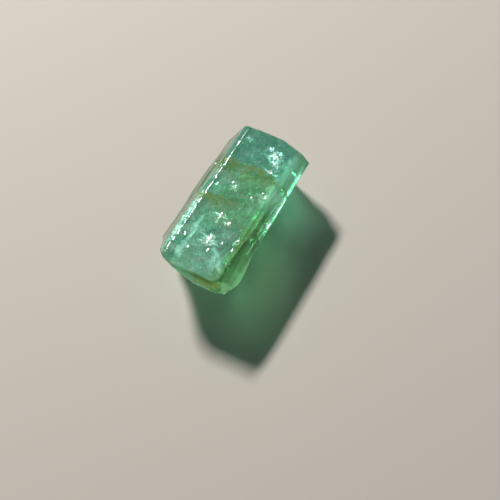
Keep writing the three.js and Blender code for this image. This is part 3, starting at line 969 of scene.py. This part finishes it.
def geometry_node(tree, kind, settings=None, links=None):
    made = tree.nodes.new(kind)
    for name, value in (settings or {}).items():
        setattr(made, name, value)
    for name, value in (links or {}).items():
        if isinstance(value, bpy.types.NodeSocket):
            tree.links.new(value, made.inputs[name])
        else:
            made.inputs[name].default_value = value
    return made


def strewn_slivers():
    """A tree that strews slivers over a mesh, each one turned, sized and toned at random."""
    inputs = {"Grains per area": "Float", "Least size": "Vector", "Most size": "Vector"}
    inputs |= {"Lean": "Float", "Seed": "Int", "Finish": "Material"}
    tree, given, out = geometry_tree("strewn_slivers", inputs)
    take = given.outputs
    strewn = geometry_node(tree, "GeometryNodeDistributePointsOnFaces", {}, {
        "Mesh": take["Geometry"], "Density": take["Grains per area"], "Seed": take["Seed"],
    })
    most_turned = geometry_node(tree, "ShaderNodeCombineXYZ", {}, {
        "X": take["Lean"], "Y": take["Lean"], "Z": math.pi,
    })
    least_turned = geometry_node(tree, "ShaderNodeVectorMath", {"operation": "SCALE"}, {
        0: most_turned.outputs[0], "Scale": -1.0,
    })
    turned = geometry_node(tree, "FunctionNodeRandomValue", {"data_type": "FLOAT_VECTOR"}, {
        0: least_turned.outputs[0], 1: most_turned.outputs[0], "Seed": TURN_SEED,
    })
    by = geometry_node(tree, "FunctionNodeEulerToRotation", {}, {0: turned.outputs[0]})
    rotation = geometry_node(tree, "FunctionNodeRotateRotation", {"rotation_space": "LOCAL"}, {
        "Rotation": strewn.outputs["Rotation"], "Rotate By": by.outputs[0],
    })
    size = geometry_node(tree, "FunctionNodeRandomValue", {"data_type": "FLOAT_VECTOR"}, {
        0: take["Least size"], 1: take["Most size"], "Seed": SIZE_SEED,
    })
    sliver = geometry_node(tree, "GeometryNodeMeshCircle", {"fill_type": "NGON"}, {
        "Vertices": SLIVER_CORNERS,
    })
    laid = geometry_node(tree, "GeometryNodeInstanceOnPoints", {}, {
        "Points": strewn.outputs["Points"],
        "Instance": sliver.outputs[0],
        "Rotation": rotation.outputs[0],
        "Scale": size.outputs[0],
    })
    tone = geometry_node(tree, "FunctionNodeRandomValue", {"data_type": "FLOAT"}, {"Seed": TONE_SEED})
    toned = geometry_node(
        tree, "GeometryNodeStoreNamedAttribute", {"data_type": "FLOAT", "domain": "INSTANCE"},
        {"Geometry": laid.outputs[0], "Name": "tone", "Value": tone.outputs[1]},
    )
    real = geometry_node(tree, "GeometryNodeRealizeInstances", {}, {0: toned.outputs[0]})
    done = geometry_node(tree, "GeometryNodeSetMaterial", {}, {
        "Geometry": real.outputs[0], "Material": take["Finish"],
    })
    tree.links.new(done.outputs[0], out.inputs[0])
    return tree


def grown(name, start, tree, values):
    """A plain mesh of what a tree makes from an object, which stays as it is."""
    carrier = bpy.data.objects.new("carrier", start.data)
    scene.collection.objects.link(carrier)
    growth = carrier.modifiers.new("growth", "NODES")
    growth.node_group = tree
    for item in tree.interface.items_tree:
        if item.in_out == "INPUT" and item.name in values:
            growth[item.identifier] = values[item.name]
    mesh = bpy.data.meshes.new_from_object(
        carrier.evaluated_get(bpy.context.evaluated_depsgraph_get())
    )
    bpy.data.objects.remove(carrier)
    places = kept_inside(places_of(mesh) / MM, GRAIN_CLEAR)
    mesh.vertices.foreach_set("co", (places * MM).ravel())
    mesh.name = name
    mesh.materials.clear()
    mesh.materials.append(values["Finish"])
    mesh.polygons.foreach_set("material_index", [0] * len(mesh.polygons))
    made = bpy.data.objects.new(name, mesh)
    scene.collection.objects.link(made)
    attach(made, "root")
    return made


beds = [
    sheet(*spark, SPARK_SEED + 3 * number, wobble=0.1, clear=0.08, rings=6, spokes=24)
    for number, spark in enumerate(SPARKS, 1)
]
beds += [
    ribbon(*chip, CHIP_FACING, CHIP_SEED + number, CHIP_CLEAR) for number, chip in enumerate(CHIPS)
]
spark_beds = joined("spark_beds", beds)
sliver_tree = strewn_slivers()
sliver_finish = flashing("flashing_sliver", SLIVER_ROUGHNESS)
grown("sparks", spark_beds, sliver_tree, {
    "Grains per area": SLIVERS_PER_AREA / MM**2,
    "Least size": (0.01 * MM, 0.03 * MM, 1),
    "Most size": (0.035 * MM, 0.15 * MM, 1),
    "Lean": 0.22,
    "Seed": 8,
    "Finish": sliver_finish,
})
bpy.data.objects.remove(spark_beds)


# Flecks: the largest of the fluid drops in the healed cracks, which show as single bright specks.
# Each lies on one of the veils and is tilted its own way, so that only a few glint at a time.
FLECKS_PER_AREA = 20

grown("flecks", healed_cracks, sliver_tree, {
    "Grains per area": FLECKS_PER_AREA / MM**2,
    "Least size": (0.010 * MM, 0.012 * MM, 1),
    "Most size": (0.028 * MM, 0.050 * MM, 1),
    "Lean": 0.5,
    "Seed": 9,
    "Finish": sliver_finish,
})
